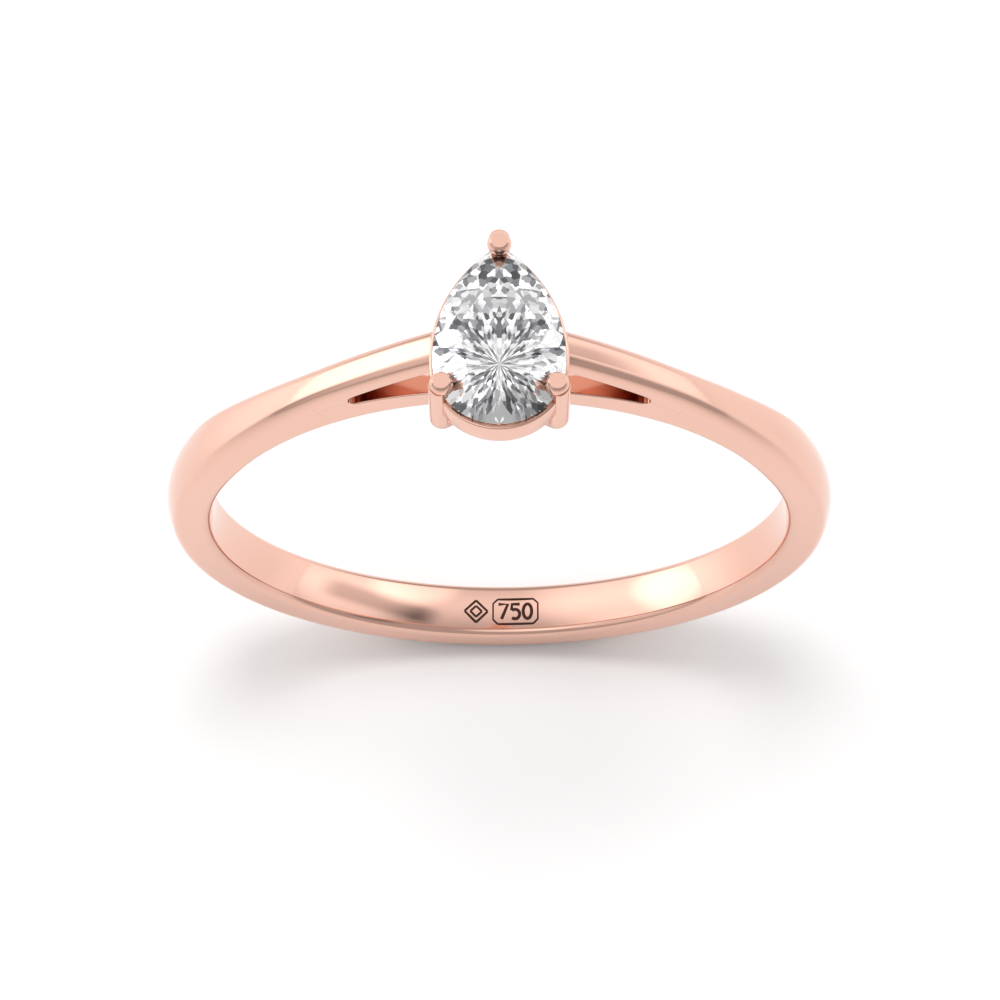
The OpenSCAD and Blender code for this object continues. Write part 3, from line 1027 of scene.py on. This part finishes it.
def fineness_mark():
    """750 in a cut-cornered frame, and a plain lozenge beside it."""
    bm = bmesh.new()
    for line in digit_lines():
        mark_stroke(bm, line, DIGIT_PEN)
    mark_outline(bm, cut_cornered(FIVE_AT, FRAME_HALF_LENGTH, FRAME_HALF_HEIGHT, FRAME_CUT), FRAME_PEN)
    for half in LOZENGE_HALVES:
        corners = [(LOZENGE_AT - half, 0), (LOZENGE_AT, half), (LOZENGE_AT + half, 0), (LOZENGE_AT, -half)]
        mark_outline(bm, corners, LOZENGE_PEN)
    return bm


mark = make_piece("band_fineness_mark", fineness_mark(), mark_brown, BAND_CREASE)


# ---------------------------------------------------------------- the frame

diamond_clear = colourless_diamond("diamond_colourless", end_y - STAR_OFF)
for held in frame["nodes"]["diamond"].material_slots:
    held.material = diamond_clear

for piece, node in (
    (shank, "shank"),
    (shoulder_right, "shoulder_right"),
    (shoulder_left, "shoulder_left"),
):
    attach(piece, "root")
    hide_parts(node)
for piece, node in [(gallery, "gallery_rail"), (collet, "collet")] + [(p, n) for n, p in claws.items()]:
    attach(piece, "root")
    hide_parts(node)
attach(mark, "root")


# ---------------------------------------------------------------- table, light and camera

# The table top, in metres, lies a hair under the hoop
TABLE_HALF = 1.5
TABLE_GAP = 0.00002

# The key's place, size, power; metres and watts
KEY_PLACE = (-0.02, 0.06, 0.33)
KEY_SIZE = 0.12
KEY_POWER = 0.4

# Light tent: an even white, and a brighter arch over the ring from side to side
TENT_WHITE = 0.5
ARCH_ACROSS = (0, 1, 0)
ARCH_Y = 0.42
ARCH_HALF = 0.45
ARCH_BRIGHT = 0.6
# Cards: direction, half-angle of the core, half-angle of the edge, change in brightness
CARDS = (
    ((-0.72, 0.41, 0.56), 16, 40, 0.42),
    ((-0.9, 0.36, 0.2), 8, 22, 0.9),
    ((0.5, 0.6, 0.62), 8, 20, 0.55),
    ((0.85, 0.42, 0.38), 14, 34, 0.4),
    ((-0.75, -0.33, 0.55), 14, 38, 0.35),
    ((-0.35, -0.4, 0.85), 8, 22, 0.35),
    ((0.75, -0.3, 0.57), 5, 14, -0.25),
    ((-0.1, -0.5, 0.85), 9, 24, 0.55),
)
# The tent's pole: from one direction to another, its half-width in degrees and its change in brightness
POLE_ENDS = ((0.44, 0.2, 0.87), (0.88, 0.38, 0.2))
POLE_HALF = 10
POLE_DARK = -0.65
# It is at its darkest over this share of its width, and fades over these degrees at its ends
POLE_CORE = 1 / 4
POLE_FADE_OUT = 5
POLE_FADE_IN = 8

CAMERA_TILT = 67.123
CAMERA_FAR = 0.1
CAMERA_AIM = Vector((0, 0, 0.000479))
CAMERA_LENS = 125.15
CAMERA_SENSOR = 36
CAMERA_SHIFT = 0.00074
CAMERA_NEAREST = 0.005
CAMERA_FARTHEST = 5


def table_top():
    bm = bmesh.new()
    bmesh.ops.create_grid(bm, x_segments=1, y_segments=1, size=TABLE_HALF)
    for corner in bm.verts:
        corner.co.z = -CROWN_R * MM - TABLE_GAP
    mesh = bpy.data.meshes.new("table_top")
    bm.to_mesh(mesh)
    bm.free()
    mesh.materials.append(white_acrylic("white_acrylic_sheet"))
    return make_object("table_top", mesh)


table_top()


def key_panel():
    """A square panel that only throws the shadow. What the polish mirrors is the tent."""
    light = bpy.data.lights.new("key_panel", "AREA")
    light.shape = "RECTANGLE"
    light.size = KEY_SIZE
    light.size_y = KEY_SIZE
    light.energy = KEY_POWER
    lamp = make_object("key_panel", light)
    lamp.location = KEY_PLACE
    lamp.rotation_euler = (-Vector(KEY_PLACE)).to_track_quat("-Z", "Y").to_euler()
    lamp.visible_glossy = False
    lamp.visible_transmission = False


def card_change(tree, direction, card):
    """One card's change in brightness, by direction."""
    toward, core, edge, change = card
    near = add_node(
        tree,
        "ShaderNodeVectorMath",
        {"operation": "DOT_PRODUCT"},
        {1: Vector(toward).normalized()},
        {0: direction},
    )
    glow = add_node(
        tree,
        "ShaderNodeMapRange",
        {"interpolation_type": "SMOOTHSTEP"},
        {"From Min": cos_deg(edge), "From Max": cos_deg(core), "To Min": 0.0, "To Max": change},
        {"Value": near.outputs["Value"]},
    )
    return glow.outputs["Result"]


def band_change(tree, direction, across, middle, edge, core, change):
    """A band's change in brightness. Its middle lies that far along the direction across it, and its edge and
    core that far from its middle."""
    place = add_node(
        tree,
        "ShaderNodeVectorMath",
        {"operation": "DOT_PRODUCT"},
        {1: Vector(across).normalized()},
        {0: direction},
    )
    off = add_node(
        tree, "ShaderNodeMath", {"operation": "SUBTRACT"}, {1: middle}, {0: place.outputs["Value"]}
    )
    beside = add_node(tree, "ShaderNodeMath", {"operation": "ABSOLUTE"}, links={0: off.outputs[0]})
    glow = add_node(
        tree,
        "ShaderNodeMapRange",
        {"interpolation_type": "SMOOTHSTEP"},
        {"From Min": edge, "From Max": core, "To Min": 0.0, "To Max": change},
        {"Value": beside.outputs[0]},
    )
    return glow.outputs["Result"]


def pole_change(tree, direction):
    """The pole's change in brightness: a band through both its ends, as far as a card about its middle."""
    one_end, other_end = [Vector(end).normalized() for end in POLE_ENDS]
    middle = one_end + other_end
    span = math.degrees(middle.angle(one_end))
    edge, core = sin_deg(POLE_HALF), sin_deg(POLE_HALF * POLE_CORE)
    thick = band_change(tree, direction, one_end.cross(other_end), 0.0, edge, core, 1.0)
    length = card_change(tree, direction, (middle, span - POLE_FADE_IN, span + POLE_FADE_OUT, POLE_DARK))
    change = add_node(tree, "ShaderNodeMath", {"operation": "MULTIPLY"}, links={0: thick, 1: length})
    return change.outputs[0]


def tent_light(name):
    """White tent round the ring: an even white, a brighter arch over it, white and grey cards, and a pole."""
    world = bpy.data.worlds.new(name)
    world.use_nodes = True
    tree = world.node_tree
    tree.nodes.clear()
    direction = add_node(tree, "ShaderNodeTexCoord").outputs["Generated"]
    changes = [band_change(tree, direction, ARCH_ACROSS, ARCH_Y, ARCH_HALF, 0.0, ARCH_BRIGHT)]
    changes += [card_change(tree, direction, card) for card in CARDS]
    changes.append(pole_change(tree, direction))
    level = add_node(tree, "ShaderNodeValue")
    level.outputs[0].default_value = TENT_WHITE
    total = level.outputs[0]
    for change in changes:
        total = add_node(tree, "ShaderNodeMath", {"operation": "ADD"}, links={0: total, 1: change}).outputs[0]
    light = add_node(
        tree, "ShaderNodeBackground", inputs={"Color": linear("#ffffff")}, links={"Strength": total}
    )
    add_node(tree, "ShaderNodeOutputWorld", links={"Surface": light.outputs["Background"]})
    return world


def view_camera():
    data = bpy.data.cameras.new("camera")
    data.sensor_width = CAMERA_SENSOR
    data.lens = CAMERA_LENS
    data.shift_x = CAMERA_SHIFT
    data.clip_start = CAMERA_NEAREST
    data.clip_end = CAMERA_FARTHEST
    camera = make_object("camera", data)
    back = Vector((0, -cos_deg(CAMERA_TILT), sin_deg(CAMERA_TILT))) * CAMERA_FAR
    camera.location = CAMERA_AIM + back
    camera.rotation_euler = (-back).to_track_quat("-Z", "Y").to_euler()
    return camera


key_panel()
bpy.context.scene.world = tent_light("light_tent")
bpy.context.scene.camera = view_camera()
bpy.context.scene.view_settings.view_transform = "Standard"
